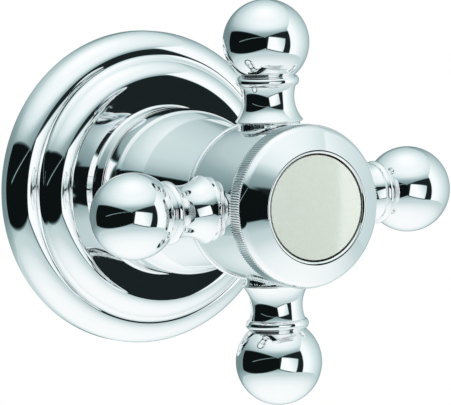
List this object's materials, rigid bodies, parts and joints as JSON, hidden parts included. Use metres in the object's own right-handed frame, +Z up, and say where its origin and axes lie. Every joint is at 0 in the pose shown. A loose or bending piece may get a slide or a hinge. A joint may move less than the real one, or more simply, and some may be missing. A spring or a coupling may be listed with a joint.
{
  "type": "cross handle tap",
  "caption": "Wall-mounted quarter-turn stop valve head: round stepped flange, sleeve and turning cross handle with ball-ended arms and a knurled cap.",
  "frame": {"origin": "centre of the wall flange's back face, on the wall plane and on the tap's axis", "axes": "+Z up, +X to the right of someone who faces the tap, -Y out of the wall along the tap's axis"},
  "size_m": [0.0776, 0.0944, 0.0776],
  "materials": {
    "polished_chrome": "polished chrome plate on brass",
    "porcelain": "glazed ivory porcelain",
    "brass": "machined brass",
    "steel": "plain stainless steel",
    "technical_ceramic": "lapped alumina",
    "white_plastic": "moulded acetal",
    "black_rubber": "matt rubber",
    "gasket_foam": "closed-cell foam"
  },
  "bodies": {
    "fixed": {"wall_flange": "polished_chrome", "flange_gasket": "gasket_foam", "bonnet_sleeve": "polished_chrome", "sleeve_seal": "black_rubber", "guide_ring": "white_plastic", "headwork_body": "brass", "nose_seal": "black_rubber", "fixed_ceramic_disc": "technical_ceramic", "outlet_seal": "black_rubber", "adaptor_tube": "brass", "glide_washer": "white_plastic"},
    "handle": {"moving_ceramic_disc": "technical_ceramic", "spindle": "brass", "spindle_seals": "black_rubber", "spindle_clip": "steel", "spindle_extension": "brass", "extension_grub": "steel", "handle_hub": "polished_chrome", "spline_insert": "white_plastic", "arm_right": "polished_chrome", "arm_top": "polished_chrome", "arm_left": "polished_chrome", "arm_bottom": "polished_chrome", "knurled_cap": "polished_chrome", "disc_cushion": "black_rubber", "index_disc": "porcelain", "screw_washer": "steel", "handle_screw": "steel"}
  },
  "joints": [
    {"name": "handle_turn", "type": "hinge", "parent": "fixed", "child": "handle", "pos_m": [0, -0.0513, 0], "axis": [0, -1, 0], "range_deg": [0, 90]}
  ]
}
